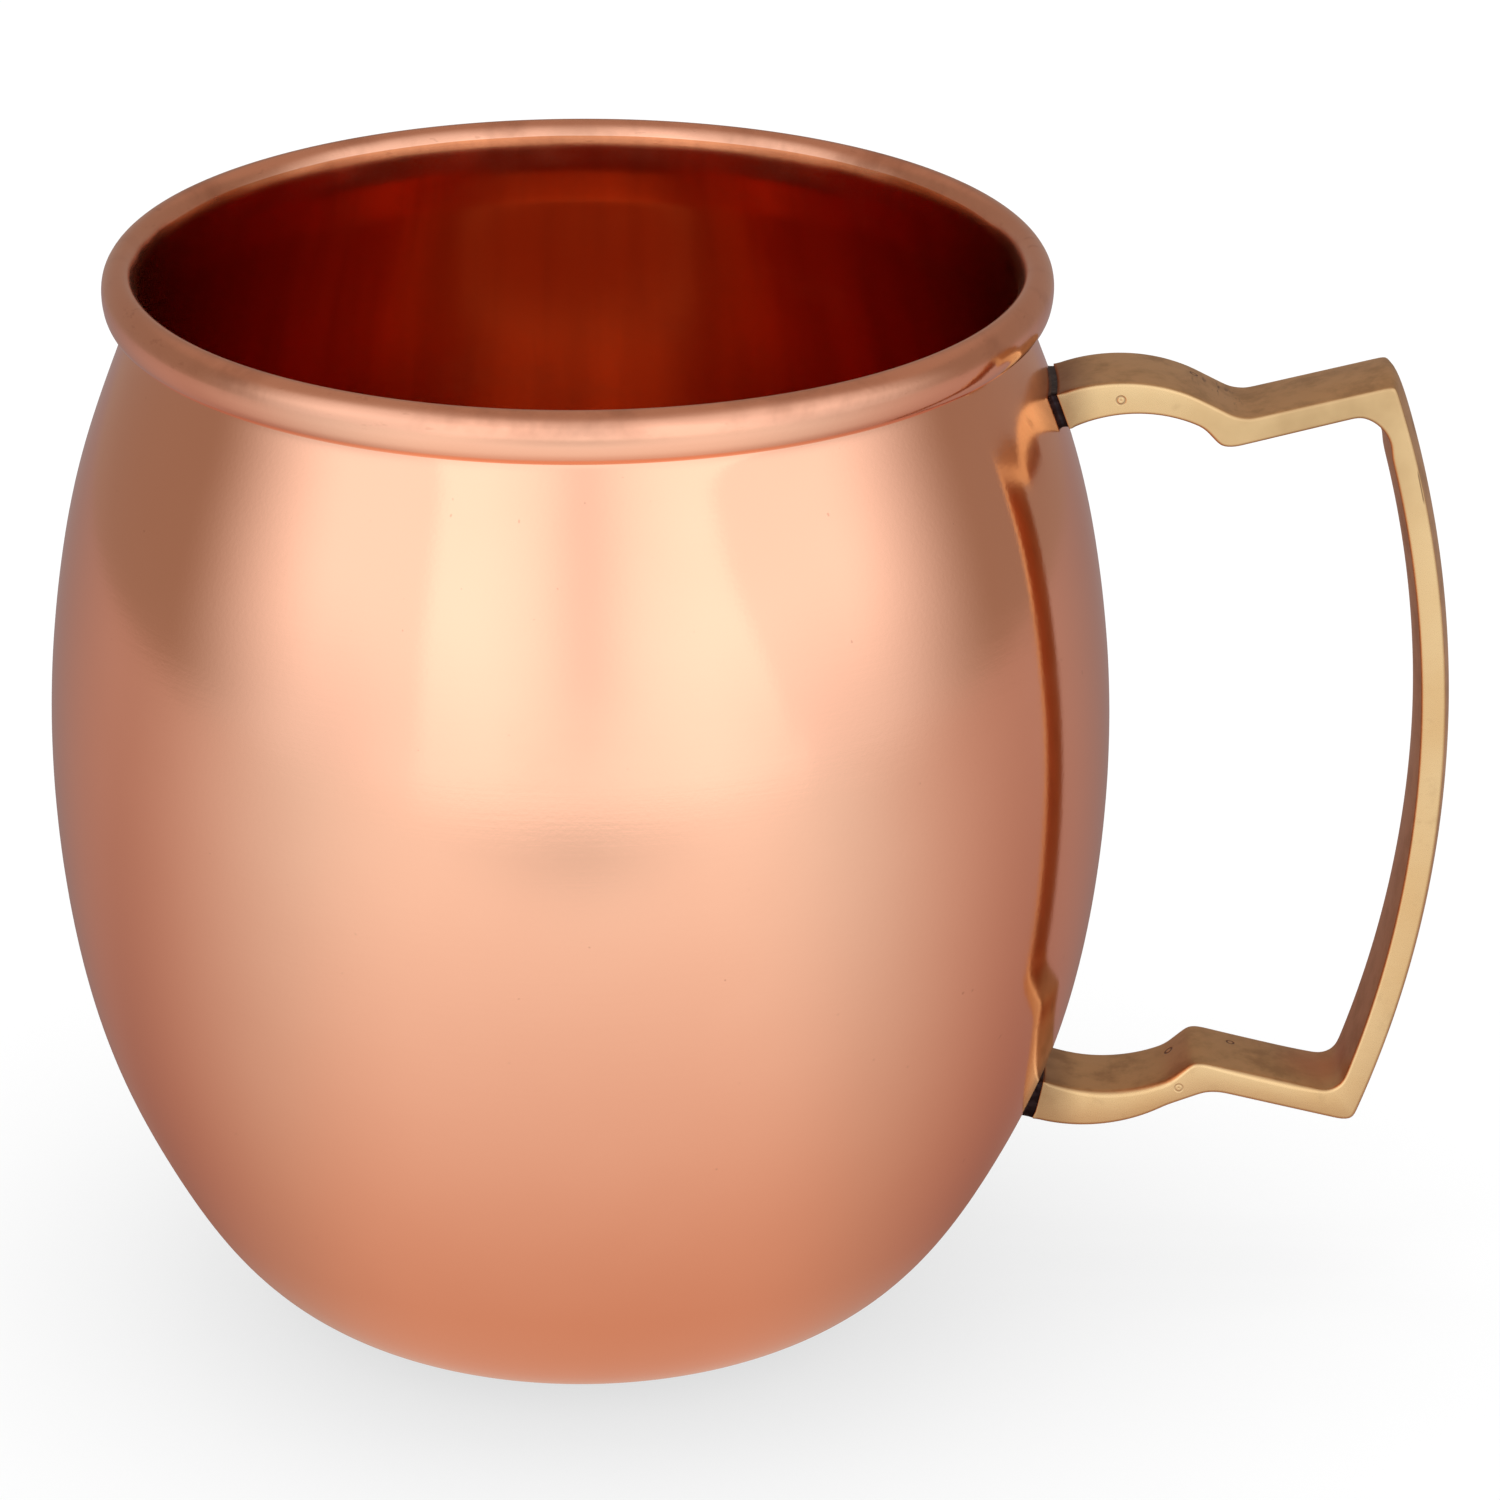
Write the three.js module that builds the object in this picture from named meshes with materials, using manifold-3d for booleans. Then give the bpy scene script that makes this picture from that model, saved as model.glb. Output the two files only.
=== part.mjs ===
/**
 * Barrel-shaped copper mug with a cast brass handle.
 *
 * Units are millimetres and +Z is up. The origin is on the mug's axis, in the plane of its base,
 * and the handle stands out along +X. The mug is four pieces: a spun body with a rolled rim, a
 * cast handle, and the filler of the two brazed joints between them.
 */
import * as THREE from 'three';
import { mergeVertices } from 'three/addons/utils/BufferGeometryUtils.js';
import Module from 'manifold-3d';

// Driving dimensions -----------------------------------------------------------------------------

const SHEET = 0.8; // thickness of the spun copper sheet
const BASE_RADIUS = 20.5; // flat disc that the mug stands on
const CIRCLE_STEPS = 64; // sides of each turned piece

/** Outer surface of the barrel as [radius, height], from the edge of the base to the neck. */
const BARREL = [
  [BASE_RADIUS, 0],
  [26.8, 1.5],
  [33.3, 7.1],
  [37.8, 14.4],
  [41.3, 21.9],
  [43.7, 29.4],
  [45.2, 37.0],
  [46.05, 44.6],
  [46.35, 52.4],
  [46.05, 60.3],
  [45.05, 68.6],
  [43.2, 77.4],
  [40.1, 86.4],
];
const BARREL_STEPS = 18; // straight lengths that the barrel's curve is divided into

/** Upright neck above the barrel, just under the bead: it starts a little wider than it ends. */
const NECK = { flare: 0.12, start: 90.4 };

/** Oval bead rolled outwards at the rim: the outside of the roll and where its free edge ends. */
const BEAD = {
  radius: 39.1, // from the mug's axis to the oval's centre
  height: 93.8, // of the oval's centre
  halfWidth: 1.5,
  halfHeight: 2.3,
  freeEdge: THREE.MathUtils.degToRad(-104), // angle at which the sheet ends, close to the neck
  steps: 9,
};

/** Cast handle. Its outline is in handleOutline. */
const HANDLE = {
  width: 8.1, // across the casting, along Y
  crown: 0.2, // how far the faces bulge at the middle of the width
  crownSteps: 2,
  flat: 0.5, // width of the level band at the middle of the bulge
  gripSteps: 14,
  humpSteps: 9,
  filletSteps: 4,
  middle: 50, // height that parts the upper joint from the lower one
  halfSpace: 200, // side of the cube that stands for everything above that height
};

/** Brazed joints: the gap from barrel to casting, and the filler's heights. */
const UPPER_JOINT = { gap: 0.9, low: 82.8, high: 85.2 };
const LOWER_JOINT = { gap: 1.5, low: 16.9, high: 19.2 };
const FILLER = {
  air: 0.3, // left between the filler and the pieces on both sides
  width: 7.0,
  inner: 36, // the filler's block reaches from here, inside the barrel,
  outer: 46, // to here, inside the casting
};

// Shared helpers ---------------------------------------------------------------------------------

const wasm = await Module();
wasm.setup();

/** Turns a closed three.js geometry into a manifold solid. */
function toSolid(geometry) {
  const bare = geometry.clone();
  bare.deleteAttribute('normal');
  bare.deleteAttribute('uv');
  const merged = mergeVertices(bare, 1e-4);
  return new wasm.Manifold(new wasm.Mesh({
    numProp: 3,
    vertProperties: new Float32Array(merged.attributes.position.array),
    triVerts: new Uint32Array(merged.index.array),
  }));
}

/** Turns a manifold solid back into a three.js geometry. */
function toGeometry(solid) {
  const mesh = solid.getMesh();
  const geometry = new THREE.BufferGeometry();
  geometry.setAttribute('position', new THREE.BufferAttribute(mesh.vertProperties, 3));
  geometry.setIndex(new THREE.BufferAttribute(mesh.triVerts, 1));
  geometry.computeVertexNormals();
  return geometry;
}

/** Spins a profile of [radius, height] points about the Z axis. */
function spin(profile) {
  const points = profile.map(([radius, height]) => new THREE.Vector2(radius, height));
  const geometry = new THREE.LatheGeometry(points, CIRCLE_STEPS);
  return geometry.rotateX(Math.PI / 2);
}

/** Points of an arc through three [x, z] points, the first one left out. */
function arcThrough(start, middle, end, steps) {
  const [ax, az] = start;
  const [bx, bz] = middle;
  const [cx, cz] = end;
  const twice = 2 * (ax * (bz - cz) + bx * (cz - az) + cx * (az - bz));
  const a = ax * ax + az * az;
  const b = bx * bx + bz * bz;
  const c = cx * cx + cz * cz;
  const x = (a * (bz - cz) + b * (cz - az) + c * (az - bz)) / twice;
  const z = (a * (cx - bx) + b * (ax - cx) + c * (bx - ax)) / twice;
  const radius = Math.hypot(ax - x, az - z);
  const from = Math.atan2(az - z, ax - x);
  const to = Math.atan2(cz - z, cx - x);
  const turn = Math.atan2(Math.sin(to - from), Math.cos(to - from));
  return Array.from({ length: steps }, (_, i) => {
    const angle = from + (turn * (i + 1)) / steps;
    return [x + radius * Math.cos(angle), z + radius * Math.sin(angle)];
  });
}

// Body -------------------------------------------------------------------------------------------

/** Points of the barrel's curve, moved outwards by a distance (inwards when it is negative). */
function barrelCurve(distance) {
  const neckRadius = BEAD.radius - BEAD.halfWidth + SHEET;
  const neck = [[neckRadius + NECK.flare, NECK.start], [neckRadius, BEAD.height]];
  const stations = [...BARREL, ...neck].map(([r, z]) => new THREE.Vector2(r, z));
  const curve = new THREE.SplineCurve(stations);
  return Array.from({ length: BARREL_STEPS + 1 }, (_, i) => {
    const at = i / BARREL_STEPS;
    const point = curve.getPointAt(at);
    const along = i === 0 ? new THREE.Vector2(1, 0) : curve.getTangentAt(at);
    const level = i === BARREL_STEPS ? 0 : -along.x * distance;
    return [point.x + along.y * distance, point.y + level];
  });
}

/** Points of one oval of the rolled rim, from one angle to another. */
function beadOval(inset, from, to) {
  return Array.from({ length: BEAD.steps + 1 }, (_, i) => {
    const angle = from + ((to - from) * i) / BEAD.steps;
    return [
      BEAD.radius + (BEAD.halfWidth - inset) * Math.cos(angle),
      BEAD.height + (BEAD.halfHeight - inset) * Math.sin(angle),
    ];
  });
}

/** The spun sheet: base, barrel, neck and rolled rim in one closed profile. */
function bodyGeometry() {
  const outside = barrelCurve(0);
  const hollow = beadOval(SHEET, Math.PI, BEAD.freeEdge).slice(1);
  const roll = beadOval(0, BEAD.freeEdge, Math.PI);
  const inside = barrelCurve(-SHEET).reverse().slice(1);
  return spin([[0, 0], ...outside, ...hollow, ...roll, ...inside, [0, SHEET]]);
}

/** A full barrel, larger than the mug's by a distance, for fitting the joints to its surface. */
function barrelSolid(distance) {
  const outside = barrelCurve(distance);
  const [, bottom] = outside[0];
  const [, top] = outside[outside.length - 1];
  return toSolid(spin([[0, bottom], ...outside, [0, top]]));
}

// Handle -----------------------------------------------------------------------------------------

/**
 * Outline of the handle's side face as [x, z], clockwise from the upper joint.
 * Both arms run on into the barrel, so that the barrel's surface can trim their ends.
 */
function handleOutline() {
  const upperArmStart = [38.5, 84.2];
  const upperHumpEnd = [52.8, 84.9];
  const upperCorner = [69.6, 86.0];
  const lowerCorner = [68.8, 16.7];
  const lowerHumpEnd = [52.2, 17.8];
  const lowerArmStart = [37.5, 17.8];
  const lowerInnerStart = [38.0, 21.6];
  const lowerInnerEnd = [52.4, 19.95];
  const lowerFilletStart = [66.5, 19.4];
  const gripBottom = [68.9, 23.0];
  const gripTop = [70.05, 79.6];
  const upperFilletEnd = [67.2, 83.3];
  const upperInnerStart = [53.7, 82.15];
  const upperInnerEnd = [39.0, 79.9];
  return [
    upperArmStart,
    ...arcThrough(upperArmStart, [47.9, 86.25], upperHumpEnd, HANDLE.humpSteps),
    [56.2, 83.0],
    [57.5, 82.9],
    upperCorner,
    ...arcThrough(upperCorner, [75.6, 51.5], lowerCorner, HANDLE.gripSteps),
    [68.0, 16.6],
    [57.0, 19.15],
    [55.7, 19.15],
    lowerHumpEnd,
    ...arcThrough(lowerHumpEnd, [45.8, 15.9], lowerArmStart, HANDLE.humpSteps),
    lowerInnerStart,
    ...arcThrough(lowerInnerStart, [47.0, 18.8], lowerInnerEnd, HANDLE.humpSteps),
    [54.5, 21.7],
    [55.3, 21.7],
    lowerFilletStart,
    ...arcThrough(lowerFilletStart, [68.0, 20.2], gripBottom, HANDLE.filletSteps),
    ...arcThrough(gripBottom, [73.6, 51.5], gripTop, HANDLE.gripSteps),
    ...arcThrough(gripTop, [69.25, 82.1], upperFilletEnd, HANDLE.filletSteps),
    [56.3, 80.5],
    [55.4, 80.6],
    upperInnerStart,
    ...arcThrough(upperInnerStart, [48.4, 83.4], upperInnerEnd, HANDLE.humpSteps),
  ];
}

/** Extrudes an [x, z] outline across Y, centred on the handle's middle plane. */
function acrossY(outline, width, bevel) {
  const shape = new THREE.Shape(outline.map(([x, z]) => new THREE.Vector2(x, z)));
  const geometry = new THREE.ExtrudeGeometry(shape, { depth: width, ...bevel });
  return geometry.translate(0, 0, -width / 2).rotateX(Math.PI / 2);
}

/** The casting: an extruded outline with crowned faces, its ends cut to the barrel's surface. */
function handleGeometry() {
  const bow = toSolid(acrossY(handleOutline(), HANDLE.flat, {
    bevelThickness: (HANDLE.width - HANDLE.flat) / 2,
    bevelSize: HANDLE.crown,
    bevelSegments: HANDLE.crownSteps,
  }));
  const above = new THREE.BoxGeometry(HANDLE.halfSpace, HANDLE.halfSpace, HANDLE.halfSpace);
  above.translate(0, 0, HANDLE.middle + HANDLE.halfSpace / 2);
  const upperHalf = toSolid(above);
  const upper = bow.intersect(upperHalf).subtract(barrelSolid(UPPER_JOINT.gap));
  const lower = bow.subtract(upperHalf).subtract(barrelSolid(LOWER_JOINT.gap));
  return toGeometry(upper.add(lower));
}

// Brazed joints ----------------------------------------------------------------------------------

/** The filler of one joint: a thin pad that follows the barrel between it and the casting. */
function fillerGeometry({ gap, low, high }) {
  const block = new THREE.BoxGeometry(FILLER.outer - FILLER.inner, FILLER.width, high - low);
  block.translate((FILLER.inner + FILLER.outer) / 2, 0, (low + high) / 2);
  const pad = toSolid(block)
    .intersect(barrelSolid(gap - FILLER.air))
    .subtract(barrelSolid(FILLER.air));
  return toGeometry(pad);
}

// Scene ------------------------------------------------------------------------------------------

const copper = new THREE.MeshStandardMaterial({
  name: 'copper',
  color: 0xd98f6c,
  roughness: 0.28,
  metalness: 1.0,
});
const brass = new THREE.MeshStandardMaterial({
  name: 'brass',
  color: 0xc79a5f,
  roughness: 0.34,
  metalness: 1.0,
});
const filler = new THREE.MeshStandardMaterial({
  name: 'braze',
  color: 0x2a211f,
  roughness: 0.6,
  metalness: 0.8,
});

/** Makes one named mesh and gives it a material of its own. */
function piece(name, geometry, material) {
  const mesh = new THREE.Mesh(geometry, material.clone());
  mesh.name = name;
  return mesh;
}

const group = new THREE.Group();
group.add(
  piece('body', bodyGeometry(), copper),
  piece('handle', handleGeometry(), brass),
  piece('upper_braze', fillerGeometry(UPPER_JOINT), filler),
  piece('lower_braze', fillerGeometry(LOWER_JOINT), filler),
);

export default group;
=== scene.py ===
"""Copper mug with a cast brass handle: the finished pieces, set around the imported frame.

The mug is a spun copper cup whose rim is rolled outwards, a cast brass handle, and the filler of
the two brazed joints between them. Sizes in the classes are millimetres. Heights and radii are
taken from the mug's own axis, which stands on the middle of its base.
"""

import logging
import math
from dataclasses import dataclass, field
from enum import Enum

import bpy
import numpy as np
from mathutils import Matrix, Vector


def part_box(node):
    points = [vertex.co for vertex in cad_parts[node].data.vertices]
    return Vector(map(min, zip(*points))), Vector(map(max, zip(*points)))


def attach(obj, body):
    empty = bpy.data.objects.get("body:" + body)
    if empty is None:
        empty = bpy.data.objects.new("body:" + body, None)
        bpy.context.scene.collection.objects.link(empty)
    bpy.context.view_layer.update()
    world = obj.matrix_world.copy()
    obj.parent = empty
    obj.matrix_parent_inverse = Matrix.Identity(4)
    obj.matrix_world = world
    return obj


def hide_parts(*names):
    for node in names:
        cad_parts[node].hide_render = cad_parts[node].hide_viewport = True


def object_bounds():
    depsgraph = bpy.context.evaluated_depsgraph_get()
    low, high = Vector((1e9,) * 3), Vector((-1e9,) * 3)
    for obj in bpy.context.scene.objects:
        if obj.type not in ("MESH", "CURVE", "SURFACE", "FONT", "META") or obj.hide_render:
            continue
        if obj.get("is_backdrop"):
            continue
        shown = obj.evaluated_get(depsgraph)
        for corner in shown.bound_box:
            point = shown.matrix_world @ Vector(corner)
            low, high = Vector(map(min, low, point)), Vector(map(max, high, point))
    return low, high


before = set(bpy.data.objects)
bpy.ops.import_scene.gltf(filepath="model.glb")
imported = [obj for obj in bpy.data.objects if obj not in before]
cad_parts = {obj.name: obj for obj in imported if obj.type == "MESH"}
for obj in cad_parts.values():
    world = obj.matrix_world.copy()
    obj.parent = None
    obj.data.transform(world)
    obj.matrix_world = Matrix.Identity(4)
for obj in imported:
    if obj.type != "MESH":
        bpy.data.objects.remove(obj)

LOG = logging.getLogger("copper_mug")
MM = 0.001
Colour = tuple[float, float, float]
Station = tuple[float, float]
Wire = bpy.types.NodeSocket | float


# Shader wiring ------------------------------------------------------------------------------------


class NodeSheet:
    """The node sheet of one material, wired one step at a time from left to right."""

    COLUMN = 190

    def __init__(self, name: str) -> None:
        """Starts an empty sheet.

        Args:
            name: The material's name.
        """
        self.material = bpy.data.materials.new(name)
        self.material.use_nodes = True
        self.tree = self.material.node_tree
        self.tree.nodes.clear()
        self.placed = 0

    def add(self, kind: str, **settings: object) -> bpy.types.Node:
        """Adds one node to the sheet.

        Args:
            kind: The node's type.
            **settings: Properties of the node, by name.

        Returns:
            The new node.
        """
        node = self.tree.nodes.new(kind)
        for key, value in settings.items():
            setattr(node, key, value)
        node.location = (self.COLUMN * (self.placed % 12), -260 * (self.placed // 12))
        self.placed += 1
        return node

    def feed(self, socket: bpy.types.NodeSocket, value: object) -> None:
        """Wires a socket to an output, or sets its own number.

        Args:
            socket: The input.
            value: An output socket, a number, or a tuple.
        """
        if isinstance(value, bpy.types.NodeSocket):
            self.tree.links.new(value, socket)
        else:
            socket.default_value = value

    def math(self, operation: str, first: Wire, second: Wire = 0.0, third: Wire = 0.0) -> Wire:
        """Joins up to three values with one sum.

        Args:
            operation: The Math node's operation.
            first: The first value.
            second: The second value.
            third: The third value.

        Returns:
            The result.
        """
        node = self.add("ShaderNodeMath", operation=operation)
        for socket, value in zip(node.inputs, (first, second, third)):
            self.feed(socket, value)
        return node.outputs[0]

    def vector(self, x: Wire, y: Wire, z: Wire) -> Wire:
        """Makes a vector of three values.

        Args:
            x: The first value.
            y: The second value.
            z: The third value.

        Returns:
            The vector.
        """
        node = self.add("ShaderNodeCombineXYZ")
        for socket, value in zip(node.inputs, (x, y, z)):
            self.feed(socket, value)
        return node.outputs[0]

    def parts(self, vector: Wire) -> tuple[Wire, Wire, Wire]:
        """Takes a vector apart into its three values.

        Args:
            vector: The vector.

        Returns:
            The values.
        """
        node = self.add("ShaderNodeSeparateXYZ")
        self.feed(node.inputs[0], vector)
        return tuple(node.outputs)

    def place(self) -> Wire:
        """The point on the piece, in metres from the mug's own origin."""
        return self.add("ShaderNodeTexCoord").outputs["Object"]

    def facing(self) -> Wire:
        """The surface's own direction, in the mug's own axes."""
        return self.add("ShaderNodeTexCoord").outputs["Normal"]

    def stretched(self, vector: Wire, stretch: Colour) -> Wire:
        """Scales a vector by a fixed amount along each axis.

        Args:
            vector: The vector.
            stretch: The amount along each axis.

        Returns:
            The scaled vector.
        """
        node = self.add("ShaderNodeVectorMath", operation="MULTIPLY")
        self.feed(node.inputs[0], vector)
        node.inputs[1].default_value = stretch
        return node.outputs[0]

    def noise(self, vector: Wire, scale: float, detail: float = 3.0, rough: float = 0.55) -> Wire:
        """Cloudy noise between nought and one.

        Args:
            vector: Where the noise is read.
            scale: Lumps in a metre.
            detail: Octaves of finer lumps.
            rough: How strong the finer lumps are.

        Returns:
            The noise.
        """
        node = self.add("ShaderNodeTexNoise")
        self.feed(node.inputs["Vector"], vector)
        node.inputs["Scale"].default_value = scale
        node.inputs["Detail"].default_value = detail
        node.inputs["Roughness"].default_value = rough
        return node.outputs["Fac"]

    def span(self, value: Wire, low: float, high: float, start: float, end: float) -> Wire:
        """Carries a value from one span to another, smoothly and held at both ends.

        Args:
            value: The value.
            low: Where the span starts.
            high: Where it ends.
            start: The result at its start.
            end: The result at its end.

        Returns:
            The carried value.
        """
        node = self.add("ShaderNodeMapRange", interpolation_type="SMOOTHSTEP")
        for socket, number in zip(node.inputs, (value, low, high, start, end)):
            self.feed(socket, number)
        return node.outputs[0]

    def blend(self, amount: Wire, first: object, second: object) -> Wire:
        """Mixes two colours.

        Args:
            amount: Nought for the first, one for the second.
            first: A colour or an output.
            second: A colour or an output.

        Returns:
            The mixed colour.
        """
        node = self.add("ShaderNodeMix", data_type="RGBA")
        self.feed(node.inputs[0], amount)
        for socket, colour in ((node.inputs[6], first), (node.inputs[7], second)):
            self.feed(socket, (*colour, 1.0) if isinstance(colour, tuple) else colour)
        return node.outputs[2]

    def relief(
        self, height: Wire, depth: float, strength: float = 1.0, below: Wire | None = None
    ) -> Wire:
        """Turns a height into a relief of the surface.

        Args:
            height: The height, nought to one.
            depth: What a height of one stands for, in metres.
            strength: How much of it shows.
            below: The relief that this one is laid over.

        Returns:
            The surface's new direction.
        """
        node = self.add("ShaderNodeBump")
        node.inputs["Strength"].default_value = strength
        node.inputs["Distance"].default_value = depth
        self.feed(node.inputs["Height"], height)
        if below is not None:
            self.feed(node.inputs["Normal"], below)
        return node.outputs[0]

    def metal(self, colour: Wire, roughness: Wire, normal: Wire, brushed: float) -> None:
        """Ends the sheet in a metal surface.

        Args:
            colour: The metal's colour.
            roughness: Its roughness.
            normal: Its relief.
            brushed: How far its gloss is drawn out across the brushing, nought to one.
        """
        shader = self.add("ShaderNodeBsdfPrincipled")
        shader.inputs["Metallic"].default_value = 1.0
        self.feed(shader.inputs["Base Color"], colour)
        self.feed(shader.inputs["Roughness"], roughness)
        self.feed(shader.inputs["Normal"], normal)
        if brushed > 0.0:
            shader.inputs["Anisotropic"].default_value = brushed
            shader.inputs["Anisotropic Rotation"].default_value = 0.25
            turn = self.add("ShaderNodeTangent", direction_type="RADIAL", axis="Z")
            self.feed(shader.inputs["Tangent"], turn.outputs[0])
        out = self.add("ShaderNodeOutputMaterial")
        self.feed(out.inputs["Surface"], shader.outputs[0])


# Finishes -----------------------------------------------------------------------------------------


class Slot(Enum):
    """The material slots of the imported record."""

    COPPER = "copper"
    BRASS = "brass"
    BRAZE = "braze"


@dataclass(frozen=True)
class SpunCopper:
    """Copper that was polished on the lathe: fine rings, a warm bloom and a worn rim."""

    name: str = "copper_outside"
    colour: Colour = (0.94, 0.474, 0.297)
    bloom: Colour = (0.918, 0.452, 0.280)
    stain: Colour = (0.52, 0.225, 0.130)
    drawn: float = 0.0
    roughness: float = 0.105
    brushed: float = 0.87
    ring_depth: float = 0.0032
    rim_low: float = 93.4
    rim_high: float = 94.9

    def material(self) -> bpy.types.Material:
        """Wires the copper.

        Returns:
            The material.
        """
        sheet = NodeSheet(self.name)
        place = sheet.place()
        x, y, z = sheet.parts(place)
        unit = sheet.add("ShaderNodeVectorMath", operation="NORMALIZE")
        sheet.feed(unit.inputs[0], sheet.vector(x, y, 0.0))
        round_x, round_y, _ = sheet.parts(unit.outputs[0])
        rings = sheet.vector(
            sheet.math("MULTIPLY", round_x, 3.0),
            sheet.math("MULTIPLY", round_y, 3.0),
            sheet.math("MULTIPLY", z, 3200.0),
        )
        fine = sheet.noise(rings, 1.0, 4.0, 0.6)
        broad = sheet.noise(place, 34.0, 3.0, 0.5)
        grain = sheet.noise(place, 2600.0, 2.0, 0.6)
        smudge = sheet.noise(sheet.stretched(place, (1.0, 1.0, 1.6)), 75.0, 4.0, 0.6)
        specks = sheet.noise(place, 1500.0, 1.0, 0.4)
        colour = sheet.blend(sheet.span(broad, 0.35, 0.68, 0.0, 1.0), self.colour, self.bloom)
        spotted = sheet.span(specks, 0.80, 0.84, 0.0, 0.4)
        rim = sheet.span(z, self.rim_low * MM, self.rim_high * MM, 0.0, 1.0)
        worn = sheet.math("MULTIPLY", rim, self.wear(sheet, place, round_x, round_y, z))
        # Darker streaks that run up and down the wall; only the inside's copper has them.
        if self.drawn > 0.0:
            lines = sheet.vector(
                sheet.math("MULTIPLY", round_x, 16.0),
                sheet.math("MULTIPLY", round_y, 16.0),
                sheet.math("MULTIPLY", z, 26.0),
            )
            streaks = sheet.span(sheet.noise(lines, 1.0, 5.0, 0.65), 0.40, 0.66, 0.0, self.drawn)
            colour = sheet.blend(streaks, colour, self.stain)
        colour = sheet.blend(sheet.math("MAXIMUM", spotted, worn), colour, self.stain)
        rubbed = sheet.span(smudge, 0.50, 0.78, 0.0, 0.05)
        rough = sheet.math("MULTIPLY_ADD", fine, 0.03, self.roughness - 0.015)
        rough = sheet.math("ADD", rough, rubbed)
        rough = sheet.math("MULTIPLY_ADD", rim, 0.05, rough)
        rough = sheet.math("MULTIPLY_ADD", worn, 0.12, rough)
        waves = sheet.relief(fine, self.ring_depth * MM)
        dust = sheet.relief(grain, 0.004 * MM, 1.0, waves)
        sheet.metal(colour, rough, sheet.relief(worn, 0.02 * MM, 1.0, dust), self.brushed)
        return sheet.material

    def wear(self, sheet: NodeSheet, place: Wire, round_x: Wire, round_y: Wire, z: Wire) -> Wire:
        """Stains and drawn-out scratches, as they are worn into the rim.

        Args:
            sheet: The sheet that is wired.
            place: The point on the piece.
            round_x: First part of the direction from the axis.
            round_y: Second part of it.
            z: The point's height.

        Returns:
            How worn the metal is, nought to one.
        """
        blotch = sheet.span(sheet.noise(place, 120.0, 4.0, 0.60), 0.46, 0.74, 0.26, 0.72)
        drawn = sheet.vector(
            sheet.math("MULTIPLY", round_x, 22.0),
            sheet.math("MULTIPLY", round_y, 22.0),
            sheet.math("MULTIPLY", z, 1900.0),
        )
        scratch = sheet.span(sheet.noise(drawn, 1.0, 3.0, 0.65), 0.52, 0.72, 0.0, 0.50)
        return sheet.math("MAXIMUM", blotch, scratch)


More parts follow.
